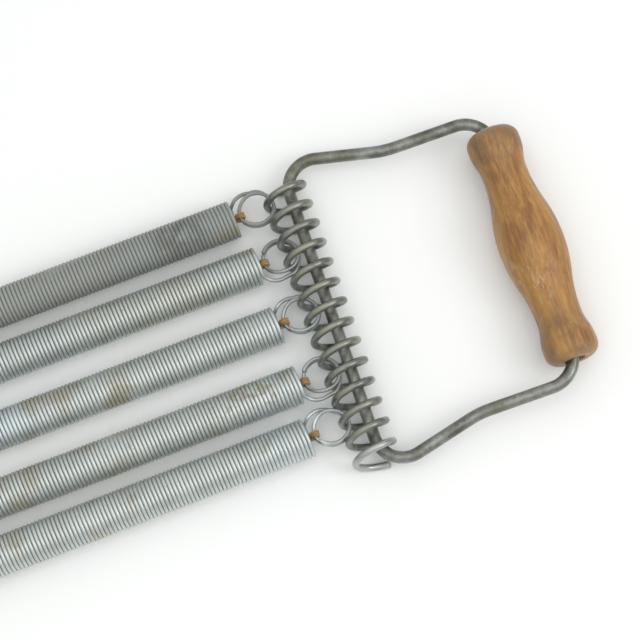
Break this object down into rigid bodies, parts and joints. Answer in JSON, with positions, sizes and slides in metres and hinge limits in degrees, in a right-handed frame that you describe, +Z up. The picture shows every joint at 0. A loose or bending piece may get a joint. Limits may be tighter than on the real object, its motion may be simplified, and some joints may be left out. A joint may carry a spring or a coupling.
{
  "type": "chest expander",
  "caption": "Spring chest expander: close-wound steel springs hooked to open coils on the bars of two bent-rod bow handles with turned wooden grips.",
  "frame": {"origin": "on the surface the expander lies on, halfway between the two handles", "axes": "+X along the springs towards the right handle, +Y along the handle bars, +Z up"},
  "size_m": [0.5996, 0.1628, 0.0304],
  "materials": {
    "bow_steel": "dull tarnished steel rod",
    "grip_wood": "worn varnish, medium brown",
    "coil_steel": "dull galvanised wire",
    "spring_steel": "zinc-plated wire, slightly tarnished",
    "cord": "twisted tan cord"
  },
  "bodies": {
    "left_anchor": {"left_anchor_coil": "coil_steel", "spring_1": "spring_steel", "spring_2": "spring_steel", "spring_3": "spring_steel", "spring_4": "spring_steel", "spring_5": "spring_steel", "safety_cord_1": "cord", "safety_cord_2": "cord", "safety_cord_3": "cord", "safety_cord_4": "cord", "safety_cord_5": "cord"},
    "right_anchor": {"right_anchor_coil": "coil_steel"},
    "right_handle": {"right_bow": "bow_steel"},
    "left_handle": {"left_bow": "bow_steel"},
    "right_handgrip": {"right_grip": "grip_wood"},
    "left_handgrip": {"left_grip": "grip_wood"}
  },
  "joints": [
    {"name": "stretch", "type": "slide", "parent": "left_anchor", "child": "right_anchor", "axis": [1, 0, 0], "range_m": [0, 0.75], "stiffness_N_per_m": 730, "springref_m": -0.1, "deforming": ["spring_1", "spring_2", "spring_3", "spring_4", "spring_5", "safety_cord_1", "safety_cord_2", "safety_cord_3", "safety_cord_4", "safety_cord_5"]},
    {"name": "right_fold", "type": "hinge", "parent": "right_anchor", "child": "right_handle", "pos_m": [0.1881, 0.0045, 0.0077], "axis": [0, -1, 0], "range_deg": [0, 115]},
    {"name": "left_fold", "type": "hinge", "parent": "left_anchor", "child": "left_handle", "pos_m": [-0.1881, -0.0045, 0.0077], "axis": [0, 1, 0], "range_deg": [0, 115]},
    {"name": "right_grip_spin", "type": "hinge", "parent": "right_handle", "child": "right_handgrip", "pos_m": [0.28461, 0.0045, 0.0152], "axis": [0, 1, 0], "continuous": true},
    {"name": "left_grip_spin", "type": "hinge", "parent": "left_handle", "child": "left_handgrip", "pos_m": [-0.28461, -0.0045, 0.0152], "axis": [0, 1, 0], "continuous": true}
  ]
}
